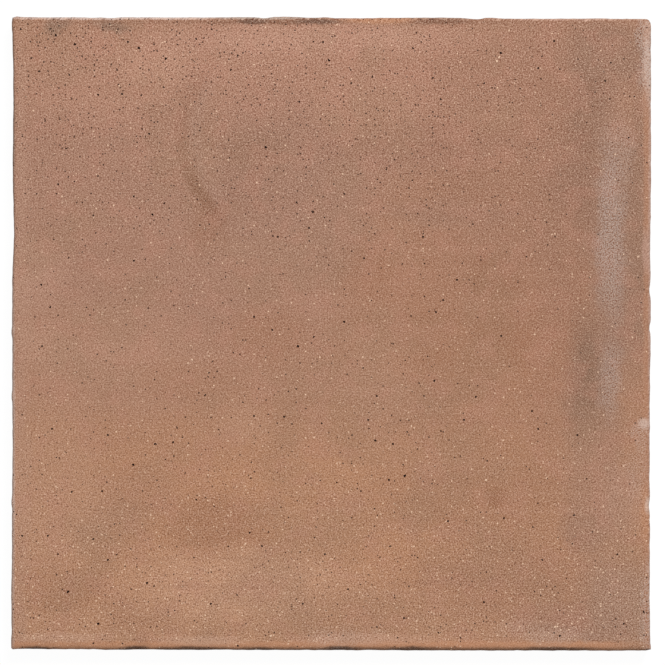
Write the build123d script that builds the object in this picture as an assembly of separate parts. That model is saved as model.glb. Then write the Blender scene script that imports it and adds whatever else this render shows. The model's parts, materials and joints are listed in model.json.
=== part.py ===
from build123d import *

import math
import os

# A square floor tile of fired clay, pressed in one piece: a wavy outline, a rolled edge all
# round the walking face and a keyed back. Sizes are millimetres. The tile lies face up, with
# +Y at the back edge, +X at the right edge and the origin under its middle.

# Overall size, between the straight lines that the four edges wander about.
tile_width = 200.5
tile_depth = 198.7
tile_thickness = 9.0

# How far each edge wanders outwards from its straight line, at even steps from corner to
# corner, going anticlockwise as seen from above.
front_wave = (-0.25, -0.15, -0.09, -0.05, -0.02, 0.0, 0.07, 0.21, 0.14, 0.19, 0.22)
right_wave = (-0.20, -0.11, -0.19, -0.25, -0.15, 0.08, 0.08, -0.05, 0.22, 0.18, 0.18)
back_wave = (-0.18, -0.25, -0.15, 0.12, -0.02, -0.08, 0.20, 0.22, 0.14, 0.19, 0.15)
left_wave = (-0.19, -0.26, -0.05, -0.40, 0.04, 0.05, 0.10, 0.0, 0.15, 0.13, 0.38)

# How far each corner stands out sideways and endways of those lines, and its plan radius.
front_left_corner = (0.30, -0.42, 1.0)
front_right_corner = (0.05, 0.10, 0.4)
back_right_corner = (0.20, -0.30, 1.8)
back_left_corner = (0.0, 0.30, 0.5)

# The rolled edge: its width in plan on each side, how deep it drops, how much larger the
# corners' plan radius is at its top, and in how many steps it is shaped.
front_roll = 2.4
right_roll = 2.6
back_roll = 1.2
left_roll = 0.9
roll_drop = 1.6
corner_softening = 1.2
roll_steps = 4

# The pressed wall below the roll tapers in towards a small chamfer around the underside.
wall_taper = 0.45
foot_chamfer = 0.5

# The keyed back: shallow pockets with sloping walls between crossing ribs, inside a rim.
pocket_pitch = 30.0
rib_width = 4.0
pocket_depth = 0.9
pocket_corner = 2.5
pocket_draft = 35.0
rim_width = 8.0

up = Vector(0, 0, 1)
compass = (Vector(0, -1, 0), Vector(1, 0, 0), Vector(0, 1, 0), Vector(-1, 0, 0))
waves = (front_wave, right_wave, back_wave, left_wave)


def stand_offs(rolled, drawn_in):
    """How far each side's straight line stands from the middle: front, right, back, left."""
    halves = (tile_depth / 2, tile_width / 2, tile_depth / 2, tile_width / 2)
    rolls = (front_roll, right_roll, back_roll, left_roll)
    return [half - roll * rolled - drawn_in for half, roll in zip(halves, rolls)]


def corner_points(height, rolled, drawn_in):
    """The four corners at one height, each at the start of its side."""
    front, right, back, left = stand_offs(rolled, drawn_in)
    sharp = (
        (-left - front_left_corner[0], -front - front_left_corner[1]),
        (right + front_right_corner[0], -front - front_right_corner[1]),
        (right + back_right_corner[0], back + back_right_corner[1]),
        (-left - back_left_corner[0], back + back_left_corner[1]),
    )
    return [Vector(x, y, height) for x, y in sharp]


def outline(height, rolled=0.0, drawn_in=0.0):
    """The closed wavy outline at one height. rolled goes from 0 at the tile's widest line to
    1 on the walking face, and drawn_in takes every side in by the same amount."""
    corners = corner_points(height, rolled, drawn_in)
    distances = stand_offs(rolled, drawn_in)
    radii = [
        corner[2] + corner_softening * rolled
        for corner in (front_left_corner, front_right_corner, back_right_corner, back_left_corner)
    ]
    edges = []
    for side, outwards in enumerate(compass):
        following = (side + 1) % len(compass)
        along = up.cross(outwards)
        first, last = corners[side].dot(along), corners[following].dot(along)
        points = [corners[side] + along * radii[side]]
        for step, wander in enumerate(waves[side], start=1):
            place = first + (last - first) * step / (len(waves[side]) + 1)
            points.append(along * place + outwards * (distances[side] + wander) + up * height)
        points.append(corners[following] - along * radii[following])
        edges.append(Spline(*points, tangents=(along, along)))
        next_along = up.cross(compass[following])
        after_corner = corners[following] + next_along * radii[following]
        edges.append(TangentArc(points[-1], after_corner, tangent=along))
    return Wire(edges)


def pressed_body():
    """The tile without its keyed back: a tapered wall, and the roll above it."""
    roll_start = tile_thickness - roll_drop
    wall = Solid.make_loft(
        [
            outline(0, drawn_in=wall_taper + foot_chamfer),
            outline(foot_chamfer, drawn_in=wall_taper),
            outline(roll_start),
        ],
        ruled=True,
    )
    sections = []
    for step in range(roll_steps + 1):
        turn = math.radians(90) * step / roll_steps
        sections.append(
            outline(roll_start + roll_drop * math.sin(turn), rolled=1 - math.cos(turn))
        )
    return wall + Solid.make_loft(sections)


def back_pockets():
    """The cutters of the keyed back, an even number each way so that ribs cross mid-tile."""
    across = 2 * int((tile_width - 2 * rim_width + rib_width) / (2 * pocket_pitch))
    along = 2 * int((tile_depth - 2 * rim_width + rib_width) / (2 * pocket_pitch))
    opening = pocket_pitch - rib_width
    pocket = extrude(RectangleRounded(opening, opening, pocket_corner), pocket_depth, taper=pocket_draft)
    return [place * pocket for place in GridLocations(pocket_pitch, pocket_pitch, across, along)]


def floor_tile():
    tile = pressed_body() - back_pockets()
    tile.label = "floor_tile"
    return tile


os.makedirs("parts", exist_ok=True)
export_step(floor_tile(), "parts/floor_tile.step")
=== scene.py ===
import json
import math
import random

import bmesh
import bpy
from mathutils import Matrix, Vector
from mathutils.kdtree import KDTree

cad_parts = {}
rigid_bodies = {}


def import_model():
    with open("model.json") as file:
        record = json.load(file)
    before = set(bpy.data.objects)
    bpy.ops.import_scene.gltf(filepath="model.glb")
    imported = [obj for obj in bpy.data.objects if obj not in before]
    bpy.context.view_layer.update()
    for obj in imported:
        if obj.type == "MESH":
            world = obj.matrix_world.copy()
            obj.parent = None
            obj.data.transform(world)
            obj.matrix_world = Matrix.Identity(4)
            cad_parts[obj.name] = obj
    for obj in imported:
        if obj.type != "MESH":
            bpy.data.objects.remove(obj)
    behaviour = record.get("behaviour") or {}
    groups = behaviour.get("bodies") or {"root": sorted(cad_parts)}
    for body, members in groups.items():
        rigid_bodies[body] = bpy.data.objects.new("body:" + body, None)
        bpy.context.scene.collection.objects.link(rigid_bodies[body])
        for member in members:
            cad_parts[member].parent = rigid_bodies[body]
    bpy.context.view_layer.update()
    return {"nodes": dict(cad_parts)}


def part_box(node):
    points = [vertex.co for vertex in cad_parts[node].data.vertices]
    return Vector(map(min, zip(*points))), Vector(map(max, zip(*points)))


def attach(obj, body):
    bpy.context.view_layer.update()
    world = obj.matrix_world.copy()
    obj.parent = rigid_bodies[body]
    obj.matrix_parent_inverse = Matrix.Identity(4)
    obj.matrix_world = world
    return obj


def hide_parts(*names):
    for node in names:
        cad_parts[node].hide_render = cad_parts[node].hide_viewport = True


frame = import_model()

mm = 0.001

# The pressed tile: its straight sides, its rolled edge, its wall and its keyed back.
tile_width = 200.5 * mm
tile_depth = 198.7 * mm
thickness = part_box("floor_tile")[1].z
front_roll = 2.4 * mm
right_roll = 2.6 * mm
back_roll = 1.2 * mm
left_roll = 0.9 * mm
roll_drop = 1.6 * mm
wall_taper = 0.45 * mm
foot_chamfer = 0.5 * mm
pocket_pitch = 30.0 * mm
pockets_each_way = 6
rib_width = 4.0 * mm
pocket_depth = 0.9 * mm
pocket_draft = math.radians(35)
pocket_corner = 2.5 * mm
pocket_lip = 0.25 * mm

# How finely the tile is drawn, and how far the face's points are shaken off their even grid.
cell = 1.25 * mm
shaken = 0.26 * cell
roll_steps = 8
wall_steps = 6

# The edge is smoothed from this height up to a hair below the face, but not near the corners.
smooth_from = 4 * mm
hair = 0.01 * mm
corner_reach = 3 * mm

# What firing leaves uneven: the size of its lumps, and how far their highs stand from their lows.
slow_warp = (28 * mm, 0.16 * mm)
rag = (5 * mm, 0.34 * mm)
fine_rag = (1.8 * mm, 0.2 * mm)

# The height in which the warp fades out at the foot, and the rag at the foot and at the face.
warp_fade = 2 * mm
rag_fade_at_foot = 1 * mm
rag_fade_at_face = 0.6 * roll_drop

# How far down the uneven walking face reaches at most, and how far up the keyed back does.
face_reach = 0.4 * mm
back_reach = 2 * mm

# How far a pit goes down for its radius, and a grain of grog up, and how far apart they stand at
# least: those that the photograph shows, and the strewn ones.
sinking = {"pit": 1.0, "grog": -0.1}
seen_gap = 1.2 * mm
strewn_gap = 2 * mm

# Where pits and grog are strewn, in millimetres from the middle: from left to right, from front
# to back, and how far out towards the corners, as the sum of both.
strewn_across = (-96, 95)
strewn_along = (-95, 96)
strewn_out = 187

# The photograph: its side in pixels, how much of the tile each shows, and where its middle lies.
photo_side = 665
pixel = 0.314 * mm
middle_px = (331.45, 334.0)

# Pits that can be told apart in the photograph, in its pixels, read off.
broad_pits = (
    (68, 592), (98, 624), (644, 612), (152, 215), (375, 441), (405, 476), (298, 346), (266, 147),
    (56, 35), (75, 44), (139, 48), (166, 59), (329, 60), (501, 53), (133, 465),
)
middling_pits = (
    (48, 536), (22, 536), (93, 539), (108, 560), (147, 583), (93, 643), (155, 444), (108, 435),
    (52, 429), (102, 491), (72, 492), (211, 604), (238, 646), (250, 533), (262, 546), (196, 500),
    (303, 604), (325, 554), (348, 589), (404, 618), (438, 633), (390, 546), (448, 521), (484, 602),
    (624, 624), (560, 636), (617, 554), (542, 560), (504, 518), (577, 435), (532, 411), (538, 429),
    (501, 336), (164, 203), (134, 261), (93, 215), (69, 258), (58, 184), (50, 307), (41, 285),
    (313, 212), (309, 228), (278, 237), (247, 302), (272, 330), (254, 317), (296, 202), (323, 42),
    (196, 39), (212, 29), (231, 70), (238, 55), (299, 102), (413, 48), (351, 83), (433, 78),
    (484, 83), (441, 99), (538, 68), (554, 41), (611, 63), (629, 138), (605, 81), (69, 75),
    (39, 71), (149, 134), (141, 95), (122, 94), (21, 29), (98, 95), (128, 42), (164, 87),
    (314, 337), (212, 361), (205, 395), (254, 416), (284, 417), (219, 429), (322, 423), (173, 442),
    (377, 396), (368, 420), (476, 397), (434, 381), (464, 420), (389, 480), (393, 444), (344, 194),
    (364, 258), (443, 300), (436, 312), (457, 280), (344, 322), (423, 237), (574, 515), (42, 346),
)
small_pits = (
    (107, 482), (237, 595), (380, 557), (377, 627), (554, 633), (533, 527), (621, 634), (616, 619),
    (145, 259), (273, 236), (351, 70), (394, 94), (406, 99), (433, 112), (542, 56), (560, 69),
    (53, 95), (149, 70), (142, 129), (130, 31), (89, 87), (45, 121), (118, 29), (97, 354),
    (57, 363), (58, 554), (68, 75), (317, 335), (209, 373), (208, 377), (199, 393), (296, 389),
    (177, 428), (174, 456), (259, 389), (243, 402), (251, 462), (255, 438), (185, 473), (212, 486),
    (251, 478), (296, 402), (268, 414), (292, 424), (463, 413), (347, 374), (363, 368), (352, 435),
    (361, 491), (403, 465), (407, 432), (487, 461), (424, 396), (403, 374), (419, 383), (441, 431),
    (334, 184), (409, 188), (386, 170), (402, 264), (338, 305), (385, 250), (411, 316), (473, 224),
    (462, 263), (474, 284), (481, 260), (98, 176), (96, 233), (90, 315), (433, 133), (243, 53),
    (110, 24), (103, 30), (50, 29), (59, 26), (94, 55), (97, 60), (117, 70), (140, 68),
    (172, 30), (176, 35), (44, 62), (32, 58), (82, 56), (38, 46), (28, 24), (153, 106),
    (138, 108), (120, 110), (180, 104), (142, 118), (59, 88), (65, 85), (29, 87), (154, 51),
    (190, 52), (224, 52), (204, 38), (200, 44), (183, 67), (118, 31),
)

# Pale grains of grog that can be told apart in the photograph, in its pixels, read off.
broad_grog = ((499, 57), (497, 61), (486, 480), (555, 627), (271, 636), (192, 360))
small_grog = (
    (277, 192), (243, 261), (200, 254), (308, 218), (545, 220), (590, 277), (541, 467), (608, 468),
    (108, 576), (135, 630), (34, 638), (289, 641), (272, 567), (454, 609), (397, 608), (468, 621),
    (375, 587), (438, 579), (458, 590), (381, 514), (597, 568), (624, 639), (209, 356), (232, 400),
    (179, 397), (196, 390), (234, 378), (244, 471), (429, 463), (427, 457), (415, 469), (495, 393),
    (402, 385), (407, 419), (396, 351), (374, 359), (479, 494), (414, 428), (346, 207), (390, 245),
    (427, 327), (385, 321), (460, 293), (447, 184), (495, 269), (370, 301),
)

# Knocks and lumps along the edge: where, in the photograph's pixels, how far the clay moved
# sideways, endways and up in millimetres, and how far along the edge that reaches.
knocks = (
    # corners, pressed full
    ((13, 17), (0.05, 0.2, 0), 1.4), ((12, 648), (-0.2, -0.15, 0), 1.6),
    ((650, 649), (0.1, -0.1, 0), 1.6),
    # back edge
    ((265, 17), (0, -0.35, 0), 2.2), ((291, 17), (0, 0.25, 0), 6.0),
    ((324, 17), (0, 0.2, 0), 1.8), ((474, 18), (0, -0.35, -0.1), 2.6),
    ((490, 18), (0, 0.25, 0), 2.4), ((110, 17), (0, -0.2, 0), 2.6),
    # left edge
    ((13, 26), (-0.2, 0, 0), 1.3), ((12, 332), (-0.25, 0, 0), 1.8),
    ((12, 396), (-0.3, 0, 0), 2.0), ((12, 501), (-0.25, 0, 0), 1.6),
    # right edge
    ((651, 292), (-0.3, 0, 0), 1.8), ((651, 328), (-0.35, 0, 0), 1.6),
    ((650, 505), (-0.25, 0, 0), 2.0),
    # front edge
    ((42, 649), (0, 0, -0.25), 4.0), ((71, 649), (0, 0, -0.3), 3.0),
    ((139, 649), (0, 0.05, -0.5), 3.4), ((200, 649), (0, 0, -0.3), 6.0),
    ((262, 649), (0, 0, -0.25), 3.0), ((345, 649), (0, 0.05, -0.45), 4.4),
    ((408, 649), (0, 0, -0.25), 5.0), ((545, 649), (0, 0, -0.25), 7.0),
)


def at(px, py):
    """The place on the walking face of a pixel of the photograph."""
    return Vector(((px - middle_px[0]) * pixel, (middle_px[1] - py) * pixel, thickness))


# Shaping the clay

def edit(piece):
    """Opens one piece in edit mode, with none of its points selected."""
    bpy.ops.object.select_all(action="DESELECT")
    piece.select_set(True)
    bpy.context.view_layer.objects.active = piece
    bpy.ops.object.mode_set(mode="EDIT")
    bpy.ops.mesh.select_mode(type="VERT")
    bpy.ops.mesh.select_all(action="DESELECT")


def leave_edit():
    bpy.ops.object.mode_set(mode="OBJECT")


def pick(piece, wanted):
    """Selects the points whose place answers wanted, with the edges and faces between them."""
    bpy.ops.mesh.select_all(action="DESELECT")
    mesh = bmesh.from_edit_mesh(piece.data)
    for point in mesh.verts:
        if wanted(point.co):
            point.select = True
    mesh.select_flush(True)
    bmesh.update_edit_mesh(piece.data)


def pick_edges(piece, wanted):
    """Selects the edges that answer wanted."""
    bpy.ops.mesh.select_all(action="DESELECT")
    mesh = bmesh.from_edit_mesh(piece.data)
    for line in mesh.edges:
        line.select_set(wanted(line))
    bmesh.update_edit_mesh(piece.data)


def finish_with(piece, kind, **settings):
    """Puts a modifier on the piece and applies it."""
    modifier = piece.modifiers.new(kind.title(), kind)
    for name, value in settings.items():
        setattr(modifier, name, value)
    bpy.context.view_layer.objects.active = piece
    bpy.ops.object.modifier_apply(modifier=modifier.name)


def make_uneven(piece, name, lumps, direction, group):
    """Displaces a group of the piece's points by soft random lumps of one size."""
    size, strength = lumps
    texture = bpy.data.textures.new(name, "CLOUDS")
    texture.noise_scale = size
    finish_with(
        piece, "DISPLACE", texture=texture, texture_coords="LOCAL", direction=direction,
        strength=strength, vertex_group=group,
    )


def reach(rolled=0.0, drawn_in=0.0):
    """How far the front, right, back and left sides stand from the middle. rolled goes from 0
    at the tile's widest line to 1 on the walking face."""
    halves = (tile_depth / 2, tile_width / 2, tile_depth / 2, tile_width / 2)
    rolls = (front_roll, right_roll, back_roll, left_roll)
    return [half - roll * rolled - drawn_in for half, roll in zip(halves, rolls)]


def rings():
    """The height and reach of each ring of points, from the face's edge down to the foot."""
    widest = thickness - roll_drop
    made = []
    for step in range(roll_steps + 1):
        turn = math.radians(90) * step / roll_steps
        made.append((widest + roll_drop * math.cos(turn), reach(rolled=1 - math.sin(turn))))
    for step in range(1, wall_steps + 1):
        share = step / wall_steps
        height = widest + (foot_chamfer - widest) * share
        made.append((height, reach(drawn_in=wall_taper * share)))
    made.append((0.0, reach(drawn_in=wall_taper + foot_chamfer)))
    return made


def draw_down(ring, below):
    """Extrudes the selected border from one ring to the one below it, each side by its own
    amount, which one scaling about a point off the middle gives."""
    height, (front, right, back, left) = ring
    new_height, (new_front, new_right, new_back, new_left) = below
    bpy.ops.mesh.extrude_region_move(
        TRANSFORM_OT_translate={"value": (0, 0, new_height - height)}
    )
    across = (new_left + new_right) / (left + right)
    along = (new_front + new_back) / (front + back)
    pivot_x = (new_right - right * across) / (1 - across)
    pivot_y = (new_back - back * along) / (1 - along)
    bpy.ops.transform.resize(value=(across, along, 1), center_override=(pivot_x, pivot_y, 0))


def press_slab():
    """The slab without its back: a fine grid for the face, then the roll and the wall."""
    ring = rings()
    front, right, back, left = ring[0][1]
    bpy.ops.object.select_all(action="DESELECT")
    bpy.ops.mesh.primitive_grid_add(
        x_subdivisions=round((left + right) / cell),
        y_subdivisions=round((front + back) / cell),
        size=1,
        location=((right - left) / 2, (back - front) / 2, thickness),
    )
    slab = bpy.context.object
    slab.name = slab.data.name = "tile_body"
    slab.scale = (left + right, front + back, 1)
    bpy.ops.object.transform_apply(location=True, rotation=True, scale=True)

    edit(slab)
    bpy.ops.mesh.select_all(action="SELECT")
    bpy.ops.mesh.select_less()
    bpy.ops.transform.vertex_random(offset=shaken, uniform=1, normal=0, seed=5)
    bpy.ops.transform.resize(value=(1, 1, 0), center_override=(0, 0, thickness))
    bpy.ops.mesh.select_all(action="DESELECT")
    bpy.ops.mesh.select_non_manifold()
    for upper, lower in zip(ring, ring[1:]):
        draw_down(upper, lower)
    leave_edit()
    return slab


def on_straight_edge(place):
    """Whether a point lies on the upper wall or the roll, away from the corners."""
    at_corner = (
        abs(place.x) > tile_width / 2 - corner_reach
        and abs(place.y) > tile_depth / 2 - corner_reach
    )
    return smooth_from < place.z < thickness - hair and not at_corner


def roughen(slab):
    """Takes the wavy outline from the solid, then makes the fired clay's surface uneven."""
    finish_with(slab, "SHRINKWRAP", target=frame["nodes"]["floor_tile"])
    edit(slab)
    pick(slab, on_straight_edge)
    bpy.ops.mesh.vertices_smooth(factor=0.5, repeat=2)
    leave_edit()
    everywhere = slab.vertex_groups.new(name="everywhere")
    edge = slab.vertex_groups.new(name="edge")
    for point in slab.data.vertices:
        height, down = point.co.z, thickness - point.co.z
        everywhere.add([point.index], min(1.0, height / warp_fade), "REPLACE")
        ragged = max(0.0, min(1.0, down / rag_fade_at_face, height / rag_fade_at_foot))
        edge.add([point.index], ragged, "REPLACE")
    make_uneven(slab, "slow_warp", slow_warp, "Z", "everywhere")
    make_uneven(slab, "rag", rag, "NORMAL", "edge")
    make_uneven(slab, "fine_rag", fine_rag, "NORMAL", "edge")
    bpy.ops.object.vertex_group_remove(all=True)


def knock_edge(piece, place, shift, spread):
    """Moves a short stretch of the edge, from its roll to near its foot, less and less with
    distance along it."""
    def beside(point):
        return (point.xy - place.xy).length < cell and point.z > roll_drop

    pick(piece, beside)
    bpy.ops.transform.translate(
        value=shift, use_proportional_edit=True, proportional_edit_falloff="SMOOTH",
        proportional_size=spread,
    )


def press_back():
    """The keyed back: a grid of pockets with sloping walls, rounded corners and soft lips."""
    def rise(line):
        return abs(line.verts[0].co.z - line.verts[1].co.z)

    def slopes(line):
        return rise(line) > pocket_depth / 2

    def is_lip(line):
        turned = line.is_manifold and line.calc_face_angle(0.0) > pocket_draft / 2
        return turned and rise(line) < pocket_lip / 10

    bpy.ops.object.select_all(action="DESELECT")
    bpy.ops.mesh.primitive_grid_add(
        x_subdivisions=pockets_each_way,
        y_subdivisions=pockets_each_way,
        size=pockets_each_way * pocket_pitch,
    )
    back = bpy.context.object
    back.name = "keyed_back"
    edit(back)
    bpy.ops.mesh.select_all(action="SELECT")
    bpy.ops.mesh.flip_normals()
    bpy.ops.mesh.inset(use_individual=True, thickness=rib_width / 2)
    bpy.ops.mesh.inset(
        use_individual=True, thickness=pocket_depth * math.tan(pocket_draft), depth=-pocket_depth
    )
    bpy.ops.mesh.select_mode(type="EDGE")
    pick_edges(back, slopes)
    bpy.ops.mesh.bevel(offset=pocket_corner, segments=5, affect="EDGES")
    pick_edges(back, is_lip)
    bpy.ops.mesh.bevel(offset=pocket_lip, segments=2, affect="EDGES")
    leave_edit()
    return back


def close_underside(slab, back):
    """Joins the keyed back to the slab by a flat rim."""
    bpy.ops.object.select_all(action="DESELECT")
    back.select_set(True)
    slab.select_set(True)
    bpy.context.view_layer.objects.active = slab
    bpy.ops.object.join()
    edit(slab)
    bpy.ops.mesh.select_non_manifold()
    bpy.ops.transform.resize(value=(1, 1, 0), center_override=(0, 0, 0))
    bpy.ops.mesh.bridge_edge_loops()
    bpy.ops.mesh.select_all(action="SELECT")
    bpy.ops.mesh.normals_make_consistent(inside=False)
    leave_edit()


# Pressing pits and grains of grog into the walking face

def spaced(candidates, taken, gap):
    """The candidates that stand more than gap from each other and from the taken places."""
    kept = []
    for place in candidates:
        if all((place - other).length > gap for other in (*taken, *kept)):
            kept.append(place)
    return kept


def strewn(number, mark, seed):
    """Random places on the flat face: pits gather at the back and the left, grog at the front."""
    dice = random.Random(seed)
    places = []
    while len(places) < number:
        x, y = dice.uniform(*strewn_across), dice.uniform(*strewn_along)
        if mark == "pit":
            likely = 1.0 if y > 60 else 0.3
            likely *= 0.35 if x > 35 and y > -60 else 1.0
        else:
            likely = 1.0 if y < -60 else 0.22
        if abs(x) + abs(y) < strewn_out and dice.random() < likely:
            places.append(Vector((x * mm, y * mm, thickness)))
    return places


def nearest_points(piece, places):
    """The face's points nearest to the places, as seen from above."""
    mesh = bmesh.from_edit_mesh(piece.data)
    face = [point for point in mesh.verts if point.co.z > thickness - face_reach]
    tree = KDTree(len(face))
    for index, point in enumerate(face):
        tree.insert((point.co.x, point.co.y, 0), index)
    tree.balance()
    return [face[tree.find((place.x, place.y, 0))[1]] for place in places]


def drag_points(piece, places):
    """Drags the face's nearest point to each place, so that a pit can be pressed there."""
    for place in places:
        bpy.ops.mesh.select_all(action="DESELECT")
        point = nearest_points(piece, [place])[0]
        point.select = True
        shift = (place.x - point.co.x, place.y - point.co.y, 0)
        bmesh.update_edit_mesh(piece.data)
        bpy.ops.transform.translate(value=shift)


def mark_selected(piece, mark):
    """Gives the selected points a full value of the attribute that mark names."""
    mesh = bmesh.from_edit_mesh(piece.data)
    layer = mesh.verts.layers.float[mark]
    for point in mesh.verts:
        if point.select:
            point[layer] = 1.0
    bmesh.update_edit_mesh(piece.data)


def press_dots(piece, places, radius, mark, seed):
    """Turns the face's points at these places into small round discs with ragged rims, and sinks
    or raises them. mark says which, and is the attribute that colours them."""
    depth = sinking[mark] * radius
    bpy.ops.mesh.select_all(action="DESELECT")
    for point in nearest_points(piece, places):
        point.select = True
    bmesh.update_edit_mesh(piece.data)
    bpy.ops.mesh.bevel(offset=radius, segments=2, profile=0.08, affect="VERTICES")
    bpy.ops.mesh.dissolve_faces()
    bpy.ops.transform.vertex_random(offset=0.12 * radius, uniform=1, normal=0, seed=seed)
    bpy.ops.mesh.inset(use_individual=True, thickness=0.2 * radius, depth=-0.6 * depth)
    bpy.ops.mesh.poke(offset=-0.4 * depth)
    mark_selected(piece, mark)


# Building node trees

def srgb(red, green, blue):
    """A picture's colour, from 0 to 255, in the linear values that shaders take."""
    shares = [part / 255 for part in (red, green, blue)]
    return (*(s / 12.92 if s < 0.04 else ((s + 0.055) / 1.055) ** 2.4 for s in shares), 1.0)


def add(tree, kind, inputs=(), **settings):
    """Adds a node. inputs gives its sockets plain values or other nodes' outputs."""
    node = tree.nodes.new("ShaderNode" + kind)
    for name, value in settings.items():
        setattr(node, name, value)
    for socket, value in dict(inputs).items():
        if isinstance(value, bpy.types.NodeSocket):
            tree.links.new(value, node.inputs[socket])
        else:
            node.inputs[socket].default_value = value
    return node


def calc(tree, operation, *values, clamp=False):
    return add(tree, "Math", enumerate(values), operation=operation, use_clamp=clamp).outputs[0]


def times(tree, first, second, *more):
    """first times second, with a third value added where there is one."""
    return calc(tree, "MULTIPLY_ADD" if more else "MULTIPLY", first, second, *more)


def vector(tree, operation, first, second):
    """A vector sum. The second is a vector, or the factor of a scaling."""
    socket = 3 if operation == "SCALE" else 1
    return add(tree, "VectorMath", {0: first, socket: second}, operation=operation).outputs[0]


def mix(tree, factor, under, over, how="MIX"):
    inputs = {0: factor, 6: under, 7: over}
    return add(tree, "Mix", inputs, data_type="RGBA", blend_type=how).outputs[2]


def lay(tree, under, mask, strength, over):
    """Covers a colour with another where the mask says, and nowhere by more than strength."""
    return mix(tree, times(tree, mask, strength), under, srgb(*over))


def ease(tree, value, start, end, low=0.0, high=1.0):
    """Goes smoothly from low to high while value goes from start to end."""
    inputs = {"Value": value, "From Min": start, "From Max": end, "To Min": low, "To Max": high}
    return add(tree, "MapRange", inputs, interpolation_type="SMOOTHSTEP").outputs[0]


def begin_group(name, inputs):
    """Starts a shader node group. A default of three numbers makes a vector input."""
    tree = bpy.data.node_groups.new(name, "ShaderNodeTree")
    for label, default in inputs.items():
        kind = "Vector" if isinstance(default, tuple) else "Float"
        made = tree.interface.new_socket(label, in_out="INPUT", socket_type="NodeSocket" + kind)
        made.default_value = default
    return tree, tree.nodes.new("NodeGroupInput").outputs


def end_group(tree, results):
    """Puts out what the group has worked out."""
    for label in results:
        tree.interface.new_socket(label, in_out="OUTPUT", socket_type="NodeSocketFloat")
    end = tree.nodes.new("NodeGroupOutput").inputs
    for label, value in results.items():
        tree.links.new(value, end[label])


def place_group(tree, name, inputs):
    """Places the named group, and gives its outputs."""
    return add(tree, "Group", inputs, node_tree=bpy.data.node_groups[name]).outputs


# The effects that make up the tile's two materials. Places and sizes are in millimetres.

def make_sandy_grain():
    """Sand grains lying side by side. Tone is each grain's own, and Dome falls from its middle
    to the gap around it, both between -1 and 1. Height is the dome, higher on some grains."""
    tree, given = begin_group("sandy_grain", {"Place": (0, 0, 0), "Grain": 0.4})
    fineness = calc(tree, "DIVIDE", 1.0, given["Grain"])
    x, y, z = add(tree, "SeparateXYZ", {0: given["Place"]}).outputs
    slanted_places = {0: times(tree, z, 0.7, x), 1: times(tree, z, 0.7, y)}
    slanted = add(tree, "CombineXYZ", slanted_places).outputs[0]
    grid = {"Vector": slanted, "Scale": fineness}
    grains = add(tree, "TexVoronoi", grid, voronoi_dimensions="2D")
    dice = add(tree, "SeparateColor", {0: grains.outputs["Color"]}).outputs
    tone = times(tree, dice[0], 2.0, -1.0)
    dome = times(tree, grains.outputs["Distance"], -2.2, 1.0)
    end_group(tree, {"Tone": tone, "Dome": dome, "Height": times(tree, dome, dice[2])})


def make_scattered_dots():
    """Round pinholes and specks strewn through the clay. Each share is the part of the places
    that they take."""
    tree, given = begin_group("scattered_dots", {
        "Place": (0, 0, 0), "Spacing": 1.0, "Radius": 0.2, "Pinhole Share": 0.1,
        "Speck Share": 0.1,
    })
    fineness = calc(tree, "DIVIDE", 1.0, given["Spacing"])
    cells = add(tree, "TexVoronoi", {"Vector": given["Place"], "Scale": fineness})
    dice = add(tree, "SeparateColor", {0: cells.outputs["Color"]}).outputs
    away = times(tree, cells.outputs["Distance"], given["Spacing"])
    size = times(tree, given["Radius"], calc(tree, "ADD", dice[1], 0.5))
    dot = ease(tree, away, times(tree, size, 1.3), times(tree, size, 0.7))
    hole = calc(tree, "LESS_THAN", dice[0], given["Pinhole Share"])
    speck = calc(tree, "GREATER_THAN", dice[0], calc(tree, "SUBTRACT", 1.0, given["Speck Share"]))
    end_group(tree, {"Pinhole": times(tree, dot, hole), "Speck": times(tree, dot, speck)})


def make_clouds():
    """Soft uneven patches of about one size, from -1 to 1."""
    tree, given = begin_group("clouds", {"Place": (0, 0, 0), "Patch": 10.0})
    fineness = calc(tree, "DIVIDE", 1.0, given["Patch"])
    noise = add(tree, "TexNoise", {"Vector": given["Place"], "Scale": fineness, "Detail": 2.0})
    end_group(tree, {"Value": ease(tree, noise.outputs[0], 0.3, 0.7, -1.0, 1.0)})


def make_soft_spot():
    """A spot that covers fully in its middle and fades out at its half widths. The third number
    of the place, the middle and the half widths isn't used."""
    steepness = 1.8
    tree, given = begin_group("soft_spot", {
        "Place": (0, 0, 0), "Middle": (0, 0, 0), "Half Widths": (1, 1, 1), "Strength": 1.0,
    })
    place, middle, half_widths = (
        add(tree, "SeparateXYZ", {0: given[label]}).outputs
        for label in ("Place", "Middle", "Half Widths")
    )
    across, along = (
        calc(tree, "DIVIDE", calc(tree, "SUBTRACT", place[axis], middle[axis]), half_widths[axis])
        for axis in (0, 1)
    )
    squared = times(tree, across, across, times(tree, along, along))
    away = calc(tree, "SQRT", squared)
    cover = calc(tree, "MULTIPLY_ADD", away, -steepness, steepness, clamp=True)
    end_group(tree, {"Mask": times(tree, cover, given["Strength"])})


def make_tide_mark():
    """The edge that drying water leaves: a dark line on a circle, and a paler band inside it."""
    tree, given = begin_group("tide_mark", {
        "Place": (0, 0, 0), "Middle": (0, 0, 0), "Radius": 30.0, "Line": 1.2, "Band": 4.0,
    })
    away = vector(tree, "SUBTRACT", given["Place"], given["Middle"])
    flat = vector(tree, "MULTIPLY", away, (1, 1, 0))
    far = add(tree, "VectorMath", {0: flat}, operation="LENGTH").outputs["Value"]
    inside = calc(tree, "SUBTRACT", given["Radius"], far)
    off_line = calc(tree, "ABSOLUTE", inside)
    off_band = calc(tree, "ABSOLUTE", calc(tree, "SUBTRACT", inside, given["Band"]))
    end_group(tree, {
        "Line": ease(tree, off_line, given["Line"], 0.0),
        "Band": ease(tree, off_band, given["Band"], 0.0),
    })


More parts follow.
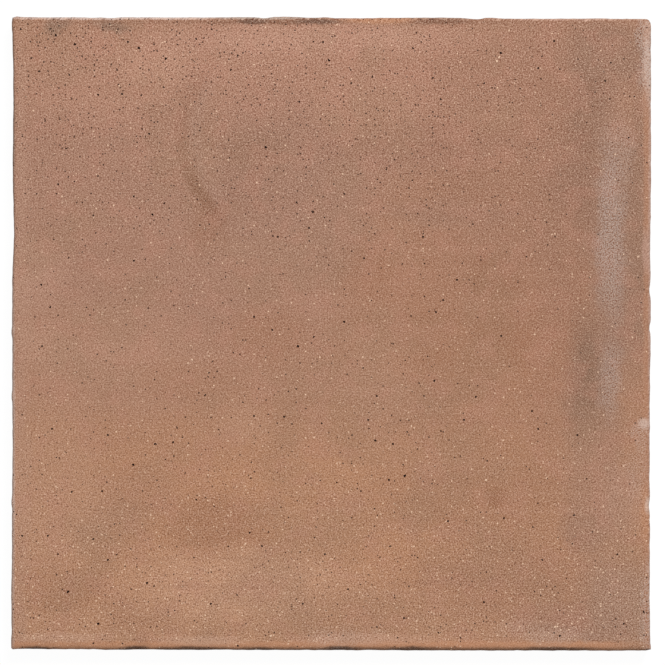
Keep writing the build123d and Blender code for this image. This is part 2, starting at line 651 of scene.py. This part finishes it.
def make_tile_sides():
    """Where a place lies on the tile: how far in from each side's straight line, and how far
    below the walking face."""
    tree, given = begin_group("tile_sides", {"Place": (0, 0, 0)})
    x, y, z = add(tree, "SeparateXYZ", {0: given["Place"]}).outputs
    half_width, half_depth = tile_width / 2 / mm, tile_depth / 2 / mm
    end_group(tree, {
        "Front": times(tree, y, 1.0, half_depth), "Right": times(tree, x, -1.0, half_width),
        "Back": times(tree, y, -1.0, half_depth), "Left": times(tree, x, 1.0, half_width),
        "Below": times(tree, z, -1.0, thickness / mm),
    })


# Stains on the face, laid one over another: the middle and the half widths in millimetres, the
# colour and how strongly it covers. A stain fades out at stain_spread times its half widths.
stain_spread = 1.65
stains = {
    # wide drifts of colour, and soot at the back
    "mauve_back_left": ((-50, 42), (75, 45), (165, 124, 104), 0.85),
    "pink_back": ((22, 83), (69, 17), (175, 129, 107), 0.8),
    "pink_back_left": ((-69, 80), (25, 12), (180, 133, 110), 0.7),
    "peach_front": ((-10, -68), (95, 30), (185, 135, 101), 0.85),
    "light_front_band": ((-22, -91), (80, 8), (188, 142, 110), 0.7),
    "right_strip": ((70, 32), (9, 52), (161, 116, 92), 0.85),
    "front_right_brown": ((57, -78), (22, 13), (166, 121, 94), 0.75),
    "soot_back_left": ((-86, 96.5), (4, 2.6), (128, 104, 88), 0.7),
    "second_soot": ((-69.5, 96.8), (4.5, 1.8), (130, 105, 88), 0.7),
    "ochre_right": ((44, 15), (30, 33), (165, 118, 91), 0.75),
    # the cloud that drying water left in the middle of the back
    "wing_cloud": ((-24, 40), (20, 14), (165, 125, 105), 0.5),
    "wing_drift": ((-20, 50), (29, 14), (155, 117, 97), 0.45),
    "wing_spot": ((-25, 57.5), (8, 6), (146, 109, 87), 0.6),
    "wing_streak": ((-27, 45), (6, 4), (154, 114, 94), 0.5),
    "wing_shade": ((-17, 68), (10, 7), (157, 118, 98), 0.4),
    "tide_head": ((-46, 76), (4, 6), (150, 114, 92), 0.25),
    "tide_shoulder": ((-54, 69), (5, 3.5), (154, 115, 93), 0.45),
    "lobe_spot": ((-39, 33), (4.5, 6), (154, 111, 87), 0.65),
    "second_lobe": ((3.5, 27), (9, 8), (159, 120, 98), 0.8),
    "lobe_brown": ((12, 20), (6, 8), (163, 115, 88), 0.45),
    "mid_brown": ((-20, 0), (9, 8), (164, 117, 90), 0.5),
    # bands and patches between the middle and the right
    "mauve_band": ((31, 59), (28, 6), (161, 117, 97), 0.8),
    "small_brown_right": ((40.5, 47), (7, 4), (157, 111, 85), 0.45),
    "grey_streak": ((41, 38), (19, 3.5), (155, 117, 96), 0.75),
    "right_brown": ((50, 18), (6, 6), (147, 99, 69), 0.8),
    "upper_band": ((39, 5), (27, 2.2), (160, 114, 87), 0.6),
    "lower_band": ((36, -7), (27, 3), (162, 116, 88), 0.45),
    "band_end": ((54, -0.5), (6, 7), (158, 111, 83), 0.7),
    "grey_patch": ((25, -22), (9, 4), (165, 122, 96), 0.6),
    "light_beside_grey": ((15, -14), (9, 12), (182, 136, 110), 0.5),
    "brown_right": ((50, -50), (28, 12), (162, 117, 89), 0.6),
    "brown_drop": ((51.5, -51.7), (3.4, 2.8), (150, 103, 72), 0.85),
    # smudges towards the front
    "front_smudge": ((-36, -60), (13, 7), (160, 113, 84), 0.6),
    "left_smudge": ((-61.5, -50), (12, 6), (170, 124, 96), 0.6),
    "left_grey": ((-69, -59), (10, 6), (168, 126, 99), 0.7),
    "left_dark": ((-84, -80), (10, 6), (166, 117, 86), 0.6),
    "front_left_brown": ((-60, -88), (10, 4), (171, 125, 96), 0.7),
    # lighter patches towards the left
    "light_left": ((-86, -4), (14, 6), (183, 141, 117), 0.6),
    "light_middle": ((-28, -28), (7, 5), (185, 141, 114), 0.4),
    "light_back_left": ((-55, 85), (8, 6), (189, 143, 119), 0.6),
    "left_margin": ((-98.5, 0), (2.5, 90), (181, 141, 119), 0.5),
    # the salty bloom along the right side, in its dark surround
    "brown_back_right": ((57, 57), (24, 40), (157, 115, 93), 0.7),
    "bloom_dark_back": ((81, 60), (5.5, 28), (142, 107, 87), 0.9),
    "bloom_dark_front": ((80, -14), (5.5, 17), (134, 103, 83), 0.9),
    "bloom_side": ((74, 38), (9, 32), (150, 111, 90), 0.4),
    "bloom_shade": ((76, 49), (7, 9), (146, 108, 88), 0.7),
    "bloom_drop": ((80, -62), (6, 5), (150, 111, 88), 0.8),
    "bloom_outer": ((96, 34), (4.5, 38), (145, 111, 91), 0.9),
    "bloom_tail": ((83, -49), (8, 20), (164, 124, 101), 0.75),
    "pale_right_front": ((91, -53), (5, 8), (184, 142, 122), 0.45),
    "bloom_corner": ((89, 88), (12, 9), (147, 112, 92), 0.9),
    "bloom_mottle": ((90, -84), (10, 12), (161, 125, 103), 0.75),
    "bloom_bed": ((88, 20), (5, 42), (151, 116, 97), 0.9),
    # pale and brown drifts laid last
    "light_mid_left": ((-72, -8), (24, 14), (180, 136, 112), 0.5),
    "brown_mid_left": ((-46, -14), (12, 5), (164, 117, 89), 0.35),
    "pale_front": ((-27, -78), (30, 8), (197, 150, 119), 0.75),
    "light_left_back": ((-93, 20), (7, 8), (187, 144, 122), 0.5),
    "light_left_front": ((-89, -53), (14, 22), (187, 142, 113), 0.55),
    "brown_corner": ((80, -91), (17, 5), (158, 119, 97), 0.75),
    "brown_front": ((8, -89), (19, 8), (164, 121, 93), 0.5),
    "pink_back_edge": ((-7, 93), (38, 4), (190, 144, 122), 0.65),
    "brown_back_edge": ((70, 92), (9, 6), (158, 118, 96), 0.45),
}

# The tide mark that drying water left, in millimetres: its circle and the widths of its line and
# its paler band, then the spots where it shows, by middle and half widths.
tide_mark = {"Middle": (-14.4, 62.3, 0), "Radius": 32.4, "Line": 3.6, "Band": 3.8}
tide_left = ((-46, 57), (16, 38))
tide_foot = ((-42, 41), (14, 20))

# Crusts of salt, which whiten some of the grains: the middle, the half widths and the share of
# the grains that they whiten.
salt_crusts = {
    "bloom_core": ((88.4, 33), (3.6, 21), 0.9),
    "bloom_head": ((90.5, 56), (3, 10), 0.45),
    "bloom_core_front": ((87.6, -14), (3.2, 9), 0.7),
    "streak_right": ((96.5, -29.5), (2.6, 1.4), 0.7),
    "second_streak": ((97.5, -33), (1.2, 5), 0.5),
    "long_streak": ((96, -44), (2.6, 7), 0.35),
    "rim_back_right": ((98.5, 88), (1.6, 12), 0.9),
    "rim_patch": ((97.5, 80), (2.8, 4), 0.7),
    "front_right_dust": ((92, -86), (8, 9), 0.2),
    "front_right_rim": ((99, -87), (2.0, 12), 0.8),
    "front_dust": ((5, -95.3), (10, 2.2), 0.4),
    "second_front_dust": ((69, -94.5), (13, 2.6), 0.35),
}

# Marks along the edges, with painted shade, highlights and sheen among them: the side, how far in
# from its straight line they are strongest and how wide, the middle and half length along the
# side, the colour and how strongly it covers. A mark fades out at edge_mark_spread times its width
# and half length.
edge_mark_spread = 1.4
edge_painted_light_and_marks = (
    # the back: the dark lines a little in from the edge are painted shade, the pale lines at its
    # very edge painted highlights
    ("Back", 1.2, 0.9, 0, 100, (142, 102, 80), 0.5),
    ("Back", 0.1, 0.5, -66, 38, (214, 190, 178), 0.85),
    ("Back", 0.1, 0.5, -20, 16, (178, 160, 146), 0.8),
    ("Back", 1.3, 0.7, -18, 19, (118, 80, 58), 0.5),
    ("Back", 1.2, 0.8, -24.5, 4.5, (98, 72, 58), 0.8),
    ("Back", 1.2, 0.8, -4.5, 6.5, (98, 72, 58), 0.8),
    ("Back", 0.8, 1.1, 15, 10, (192, 138, 104), 0.7),
    ("Back", 1.2, 0.8, 35, 9, (116, 80, 60), 0.7),
    ("Back", 0.2, 0.4, 35, 9, (168, 142, 126), 0.6),
    ("Back", 0.3, 0.5, 74, 22, (206, 170, 152), 0.7),
    # the left: the dark grey line is painted shade
    ("Left", 0.2, 0.6, -40, 60, (208, 180, 165), 0.7),
    ("Left", 0.2, 0.5, 60, 30, (140, 122, 108), 0.5),
    # the right: the pale line along the whole edge is a painted highlight
    ("Right", 0.2, 0.5, 0, 95, (194, 160, 145), 0.6),
    ("Right", 0.6, 1.6, 86, 11, (196, 166, 150), 0.7),
    ("Right", 1.4, 1.3, 26, 6, (182, 146, 130), 0.6),
    ("Right", 2.0, 1.8, -28, 1.5, (214, 188, 174), 0.6),
    ("Right", 0.8, 1.0, -54, 2.5, (230, 212, 200), 0.9),
    ("Right", 1.6, 1.6, -57, 8, (186, 134, 101), 0.6),
    # the front: the dark line and the near-black stretches at the edge are painted shade, the pale
    # bands a little further in painted sheen
    ("Front", 0.0, 0.9, 0, 98, (106, 76, 58), 0.7),
    ("Front", 0.4, 0.8, -92, 5, (58, 40, 30), 0.8),
    ("Front", 0.5, 0.8, -62, 4, (52, 36, 28), 0.85),
    ("Front", 0.4, 0.8, -45, 9, (58, 40, 30), 0.7),
    ("Front", 0.3, 0.6, -22, 4, (60, 42, 32), 0.7),
    ("Front", 0.5, 0.8, 3, 5, (56, 39, 30), 0.8),
    ("Front", 0.4, 0.8, 25, 6, (60, 42, 32), 0.7),
    ("Front", 0.4, 0.65, 71, 10, (60, 42, 33), 0.7),
    ("Front", 3.0, 1.4, -40.5, 12, (198, 157, 131), 0.6),
    ("Front", 4.0, 1.4, -85, 14, (200, 158, 132), 0.5),
    ("Front", 3.6, 1.6, 12, 20, (200, 153, 125), 0.55),
    ("Front", 4.6, 1.8, 69, 8, (194, 151, 125), 0.45),
)


def spot_mask(tree, place, middle, half_widths, strength, spread=1.0):
    """How strongly a soft spot covers. It fades out at spread times its half widths."""
    outer = [spread * half for half in half_widths]
    return place_group(tree, "soft_spot", {
        "Place": place, "Middle": (*middle, 0), "Half Widths": (*outer, 1), "Strength": strength,
    })["Mask"]


def lay_stains(tree, place, ragged, colour):
    """Lays the stains and the tide mark over a colour."""
    for middle, half_widths, stain, strength in stains.values():
        mask = spot_mask(tree, ragged, middle, half_widths, strength, stain_spread)
        colour = mix(tree, mask, colour, srgb(*stain))
    mark = place_group(tree, "tide_mark", {"Place": place, **tide_mark})
    at_left = spot_mask(tree, ragged, *tide_left, 1.0)
    at_foot = spot_mask(tree, ragged, *tide_foot, 0.5)
    line = times(tree, mark["Line"], times(tree, at_left, 0.35, at_foot))
    band = times(tree, mark["Band"], at_left)
    colour = lay(tree, colour, band, 0.6, (168, 131, 113))
    return mix(tree, line, colour, srgb(132, 91, 68))


def salt_cover(tree, ragged):
    """The share of the grains that salt whitens at each place."""
    cover = 0.0
    for middle, half_widths, share in salt_crusts.values():
        mask = spot_mask(tree, ragged, middle, half_widths, share, stain_spread)
        cover = calc(tree, "MAXIMUM", mask, cover)
    return cover


def lay_edge_painted_light_and_marks(tree, place, sides, colour):
    """Lays the edge marks, with their painted shade, highlights and sheen, over a colour."""
    x, y, _ = add(tree, "SeparateXYZ", {0: place}).outputs
    for side, inwards, width, middle, length, mark, strength in edge_painted_light_and_marks:
        along = x if side in ("Front", "Back") else y
        on_edge = add(tree, "CombineXYZ", {0: along, 1: sides[side]}).outputs[0]
        mask = spot_mask(
            tree, on_edge, (middle, inwards), (length, width), strength, edge_mark_spread
        )
        colour = mix(tree, mask, colour, srgb(*mark))
    return colour


def lay_clouds(tree, place, colour, layers):
    """Lays uneven clouds over a colour. Each layer has the size of its patches, a shift that
    sets it apart from others, how strongly it covers and its colour."""
    for patch, shift, strength, tint in layers:
        shifted = vector(tree, "ADD", place, shift)
        cloud = place_group(tree, "clouds", {"Place": shifted, "Patch": patch})["Value"]
        colour = lay(tree, colour, calc(tree, "MAXIMUM", cloud, 0.0), strength, tint)
    return colour


def random_shift(tree, place, size, distance, detail):
    """A random shift in lumps of about this size, of up to half the distance each way."""
    noise = add(tree, "TexNoise", {"Vector": place, "Scale": 1 / size, "Detail": detail})
    centred = vector(tree, "SUBTRACT", noise.outputs["Color"], (0.5, 0.5, 0.5))
    return vector(tree, "SCALE", centred, distance)


def place_in_mm(tree):
    return vector(tree, "SCALE", add(tree, "TexCoord").outputs["Object"], 1 / mm)


def new_material(name):
    material = bpy.data.materials.new(name)
    material.use_nodes = True
    return material


def connect_clay(tree, colour, roughness, height):
    """Connects a clay's colour, roughness and height in millimetres to its shader."""
    sockets = tree.nodes["Principled BSDF"].inputs
    bump = add(tree, "Bump", {"Height": height, "Distance": mm, "Strength": 1.0}).outputs[0]
    tree.links.new(colour, sockets["Base Color"])
    tree.links.new(roughness, sockets["Roughness"])
    tree.links.new(bump, sockets["Normal"])
    sockets["Specular IOR Level"].default_value = 0.2


def fired_clay():
    """The tile's clay on its walking face, its rolled edge and its wall."""
    material = new_material("fired_clay")
    tree = material.node_tree
    pale_sand, burnt_sand = srgb(238, 200, 178), srgb(106, 50, 28)

    # places pushed about at random, for ragged borders: most for the stains, least at the edges
    place = place_in_mm(tree)
    wide_shift = random_shift(tree, place, 14, 9.0, 2.0)
    fine_shift = random_shift(tree, place, 2.5, 2.4, 1.0)
    ragged = vector(tree, "ADD", place, vector(tree, "ADD", wide_shift, fine_shift))
    slightly_ragged = vector(tree, "ADD", place, vector(tree, "SCALE", fine_shift, 0.6))
    near = vector(tree, "ADD", place, vector(tree, "SCALE", fine_shift, 0.35))
    sides = place_group(tree, "tile_sides", {"Place": slightly_ragged})
    near_sides = place_group(tree, "tile_sides", {"Place": near})
    x, y, _ = add(tree, "SeparateXYZ", {0: place}).outputs

    # the stains, then greyish against pinkish in patches of several sizes
    colour = lay_stains(tree, slightly_ragged, ragged, srgb(172, 126, 98))
    colour = lay_clouds(tree, place, colour, (
        (22, (22, 3, 0), 0.38, (157, 121, 95)),
        (9, (9, 3, 0), 0.3, (184, 131, 110)),
        (2.4, (2.4, 3, 0), 0.14, (158, 121, 97)),
    ))

    # faint streaks from side to side, left as the clay was smoothed
    streaks = add(tree, "TexNoise", {
        "Vector": vector(tree, "MULTIPLY", slightly_ragged, (0.012, 0.35, 0.35)), "Scale": 1.0,
        "Detail": 2.0,
    }).outputs[0]
    colour = mix(tree, ease(tree, streaks, 0.5, 0.8, 0.0, 0.22), colour, srgb(158, 114, 90))
    colour = mix(tree, ease(tree, streaks, 0.5, 0.2, 0.0, 0.22), colour, srgb(184, 141, 116))

    # the roll: smooth, warm and nearly free of sand at the front and the right
    front_band = ease(tree, sides["Front"], 3.5, 1.9)
    front_band = times(tree, front_band, ease(tree, x, 84.0, 97.0, 1.0, 0.35))
    right_band = ease(tree, sides["Right"], 2.8, 1.6)
    smooth = calc(tree, "MAXIMUM", front_band, times(tree, right_band, 0.6))
    colour = lay(tree, colour, front_band, 0.8, (196, 141, 106))
    colour = lay(tree, colour, right_band, 0.7, (172, 124, 97))
    # the edges' marks, among them painted shade along the front, left and back edges, painted
    # highlights at the back and right edges and painted sheen near the front
    colour = lay_edge_painted_light_and_marks(tree, near, near_sides, colour)

    # pale grains of sand and burnt grains of clay, more of them towards the back and the front
    to_back = ease(tree, y, 10.0, 80.0)
    to_front = ease(tree, y, -15.0, -85.0)
    grain = place_group(tree, "sandy_grain", {"Place": place, "Grain": 0.42})
    burnt = place_group(tree, "sandy_grain", {
        "Place": vector(tree, "ADD", place, (41, 73, 0)), "Grain": 0.46,
    })
    sandiness = times(tree, calc(tree, "ADD", to_back, to_front), 0.2, 0.8)
    sandiness = times(tree, sandiness, times(tree, smooth, -0.5, 1.0))
    tone = calc(tree, "SUBTRACT", grain["Dome"], burnt["Dome"])
    tone = times(tree, tone, sandiness)
    pale_grains = calc(tree, "MULTIPLY", tone, 0.33, clamp=True)
    burnt_grains = calc(tree, "MULTIPLY", tone, -0.5, clamp=True)
    colour = mix(tree, pale_grains, colour, pale_sand)
    colour = mix(tree, burnt_grains, colour, burnt_sand)

    # salt on the grains of the bloom
    salty = times(tree, grain["Dome"], 0.35, 0.12)
    salty = calc(tree, "MULTIPLY", salty, salt_cover(tree, ragged), clamp=True)
    colour = mix(tree, salty, colour, srgb(202, 197, 193))

    # fine pinholes, mostly at the back and the left, their dark colour painted shade in the holes,
    # and pale specks, mostly at the front
    to_left = ease(tree, x, 75.0, 10.0, 0.3, 1.0)
    pinhole_share = times(tree, times(tree, to_back, 0.3, 0.08), to_left)
    pinhole_share = times(tree, to_front, 0.05, pinhole_share)
    dots = place_group(tree, "scattered_dots", {
        "Place": place, "Spacing": 0.9, "Radius": 0.17, "Pinhole Share": pinhole_share,
        "Speck Share": times(tree, to_front, 0.2, 0.05),
    })
    pinholes = dots["Pinhole"]
    colour = lay(tree, colour, dots["Speck"], 0.8, (248, 212, 182))
    colour = lay(tree, colour, pinholes, 0.95, (56, 32, 22))

    # the modelled pits, whose dark brown inside is painted shade, and grains of grog
    pit = add(tree, "Attribute", attribute_name="pit").outputs["Fac"]
    grog = add(tree, "Attribute", attribute_name="grog").outputs["Fac"]
    colour = lay(tree, colour, grog, 0.85, (246, 212, 182))
    colour = mix(tree, ease(tree, pit, 0.0, 0.4), colour, srgb(42, 19, 11))

    # the wall below the roll: raw clay, dragged upwards as the press opened
    wall = ease(tree, sides["Below"], 1.4, 2.4)
    dragged = add(tree, "TexNoise", {
        "Vector": vector(tree, "MULTIPLY", place, (1.6, 1.6, 0.25)), "Scale": 1.0, "Detail": 3.0,
    }).outputs[0]
    raw = mix(tree, ease(tree, dragged, 0.35, 0.65), srgb(156, 104, 74), srgb(190, 140, 108))
    raw = mix(tree, pale_grains, raw, pale_sand)
    raw = mix(tree, burnt_grains, raw, burnt_sand)
    # painted shade in the wall's pinholes
    raw = lay(tree, raw, pinholes, 0.8, (92, 58, 42))
    raw = mix(tree, ease(tree, sides["Below"], 7.0, 9.0, 0.0, 0.55), raw, srgb(205, 176, 152))
    colour = mix(tree, wall, colour, raw)

    roughness = times(tree, smooth, -0.14, 0.86)
    roughness = times(tree, grain["Tone"], 0.06, roughness)
    height = times(tree, grain["Height"], times(tree, sandiness, 0.05))
    height = times(tree, pinholes, -0.12, height)
    height = times(tree, times(tree, dragged, wall), 0.5, height)
    connect_clay(tree, colour, roughness, height)
    return material


def bedding_clay():
    """The keyed back: the same clay, dulled by dust from the kiln shelf."""
    material = new_material("bedding_clay")
    tree = material.node_tree
    place = place_in_mm(tree)
    z = add(tree, "SeparateXYZ", {0: place}).outputs[2]
    colour = lay_clouds(tree, place, srgb(178, 128, 98), (
        (35, (0, 0, 0), 0.5, (160, 112, 84)),
        (11, (0, 0, 0), 0.4, (192, 148, 122)),
        (3, (0, 0, 0), 0.3, (150, 108, 84)),
    ))

    # dust on the ribs and the rim, which stand on the shelf
    dusty_place = vector(tree, "ADD", place, (50, 9, 0))
    dust = place_group(tree, "clouds", {"Place": dusty_place, "Patch": 4.0})["Value"]
    dusty_height = times(tree, dust, 0.3, z)
    on_ribs = ease(tree, dusty_height, 0.7, 0.1, 0.0, 0.6)
    colour = mix(tree, on_ribs, colour, srgb(214, 186, 164))

    # sand, which lightens and darkens the clay by its grains, and pinholes darkened by painted
    # shade
    grain = place_group(tree, "sandy_grain", {"Place": place, "Grain": 0.6})
    tone = times(tree, grain["Tone"], 0.22, 1.0)
    tone = times(tree, grain["Dome"], 0.2, tone)
    tinted = add(tree, "CombineColor", {0: tone, 1: tone, 2: tone}).outputs[0]
    colour = mix(tree, 1.0, colour, tinted, "MULTIPLY")
    pinholes = place_group(tree, "scattered_dots", {
        "Place": place, "Spacing": 1.1, "Radius": 0.24, "Pinhole Share": 0.12,
    })["Pinhole"]
    colour = lay(tree, colour, pinholes, 0.8, (84, 54, 40))

    roughness = times(tree, grain["Tone"], 0.05, 0.9)
    height = times(tree, grain["Height"], 0.08)
    height = times(tree, pinholes, -0.15, height)
    height = times(tree, dust, 0.04, height)
    connect_clay(tree, colour, roughness, height)
    return material


# The studio, in metres. The surroundings look white, and light the tile at this share of that.
ground_side = 8
ground_gap = 0.1 * mm
opening_margin = 1.3 * mm
surroundings_light = 0.42
lamp_side = 0.7
lamp_power = 22.5
camera_height = 2.0


def seen_directly(tree):
    """1 where a ray makes the picture, mirrored or through glass too, and 0 where it only
    carries light."""
    rays = add(tree, "LightPath").outputs
    seen = calc(tree, "MAXIMUM", rays["Is Camera Ray"], rays["Is Glossy Ray"])
    return calc(tree, "MAXIMUM", seen, rays["Is Transmission Ray"])


def studio_floor():
    """A white ground that keeps the tile's shadow, and that can be looked through from below.
    It is open under the tile, so that light reaches the keyed back."""
    bpy.ops.object.select_all(action="DESELECT")
    bpy.ops.mesh.primitive_plane_add(size=ground_side, location=(0, 0, -ground_gap))
    floor = bpy.context.object
    floor.name = "ground"
    half_width, half_depth = (size / 2 - opening_margin for size in (tile_width, tile_depth))
    edit(floor)
    bpy.ops.mesh.select_all(action="SELECT")
    bpy.ops.mesh.inset(thickness=ground_side / 2 - half_depth)
    bpy.ops.transform.resize(value=(half_width / half_depth, 1, 1))
    bpy.ops.mesh.delete(type="FACE")
    leave_edit()

    material = new_material("white_ground")
    tree = material.node_tree
    tree.nodes.remove(tree.nodes["Principled BSDF"])
    behind = add(tree, "NewGeometry").outputs["Backfacing"]
    grey = add(tree, "BsdfDiffuse", {"Color": (0.3, 0.3, 0.3, 1)}).outputs[0]
    pale = add(tree, "BsdfDiffuse", {"Color": (0.06, 0.06, 0.06, 1)}).outputs[0]
    glow = add(tree, "Emission", {"Color": (1, 1, 1, 1), "Strength": 0.96}).outputs[0]
    white = add(tree, "AddShader", {0: pale, 1: glow}).outputs[0]
    clear = add(tree, "BsdfTransparent").outputs[0]
    lit = add(tree, "MixShader", {0: seen_directly(tree), 1: grey, 2: white}).outputs[0]
    ground = add(tree, "MixShader", {0: behind, 1: lit, 2: clear}).outputs[0]
    tree.links.new(ground, tree.nodes["Material Output"].inputs["Surface"])
    floor.data.materials.append(material)


def studio_world():
    """Even white surroundings, at less than half strength where they light the tile."""
    world = bpy.data.worlds.new("studio")
    bpy.context.scene.world = world
    world.use_nodes = True
    tree = world.node_tree
    seen = seen_directly(tree)
    strength = times(tree, seen, 1 - surroundings_light, surroundings_light)
    tree.links.new(strength, tree.nodes["Background"].inputs["Strength"])
    tree.nodes["Background"].inputs["Color"].default_value = (1, 1, 1, 1)


def studio_lamp(name, place):
    """A large soft lamp that is turned towards the tile."""
    lamp = bpy.data.objects.new(name, bpy.data.lights.new(name, "AREA"))
    bpy.context.scene.collection.objects.link(lamp)
    lamp.location = place
    lamp.rotation_euler = (-lamp.location).to_track_quat("-Z", "Y").to_euler()
    lamp.data.size = lamp_side
    lamp.data.energy = lamp_power


def look_down():
    """The photograph's view: straight down, through a long lens that takes in just its frame."""
    camera = bpy.data.objects.new("camera", bpy.data.cameras.new("camera"))
    bpy.context.scene.collection.objects.link(camera)
    middle = at(photo_side / 2, photo_side / 2)
    camera.location = (middle.x, middle.y, camera_height + thickness)
    camera.data.lens = camera.data.sensor_width * camera_height / (photo_side * pixel)
    bpy.context.scene.camera = camera


# The slab, with its knocked edge and its keyed back
slab = press_slab()
roughen(slab)
edit(slab)
for spot, shift, spread in knocks:
    knock_edge(slab, at(*spot), Vector(shift) * mm, spread * mm)
leave_edit()
close_underside(slab, press_back())

# The pits and grains of grog. Those that the photograph shows come first, and the strewn ones
# stand clear of them.
edit(slab)
mesh = bmesh.from_edit_mesh(slab.data)
mesh.verts.layers.float.new("pit")
mesh.verts.layers.float.new("grog")
bmesh.update_edit_mesh(slab.data)
taken = []
seen_kinds = (
    (broad_pits, 0.45 * mm, "pit"),
    (middling_pits, 0.36 * mm, "pit"),
    (small_pits, 0.28 * mm, "pit"),
    (broad_grog, 0.36 * mm, "grog"),
    (small_grog, 0.25 * mm, "grog"),
)
for seed, (spots, radius, mark) in enumerate(seen_kinds):
    places = spaced([at(*spot) for spot in spots], taken, seen_gap)
    drag_points(slab, places)
    press_dots(slab, places, radius, mark, seed)
    taken += places
strewn_kinds = (
    (11, 90, 0.25 * mm, "pit"),
    (12, 300, 0.18 * mm, "pit"),
    (13, 320, 0.19 * mm, "grog"),
)
for seed, number, radius, mark in strewn_kinds:
    places = spaced(strewn(number, mark, seed), taken, strewn_gap)
    press_dots(slab, places, radius, mark, seed)
    taken += places
leave_edit()
bpy.ops.object.shade_smooth_by_angle(angle=math.radians(35))

# The materials: the second is for what faces down on the underside
make_sandy_grain()
make_scattered_dots()
make_clouds()
make_soft_spot()
make_tide_mark()
make_tile_sides()
slab.data.materials.append(fired_clay())
slab.data.materials.append(bedding_clay())
for face in slab.data.polygons:
    face.material_index = int(face.normal.z < -0.5 and face.center.z < back_reach)

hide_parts("floor_tile")
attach(slab, "root")

studio_floor()
studio_world()
studio_lamp("softbox", (0.45, 0.95, 1.35))
studio_lamp("softbox_below", (-0.45, -0.95, -1.35))
look_down()
bpy.context.scene.view_settings.view_transform = "Standard"
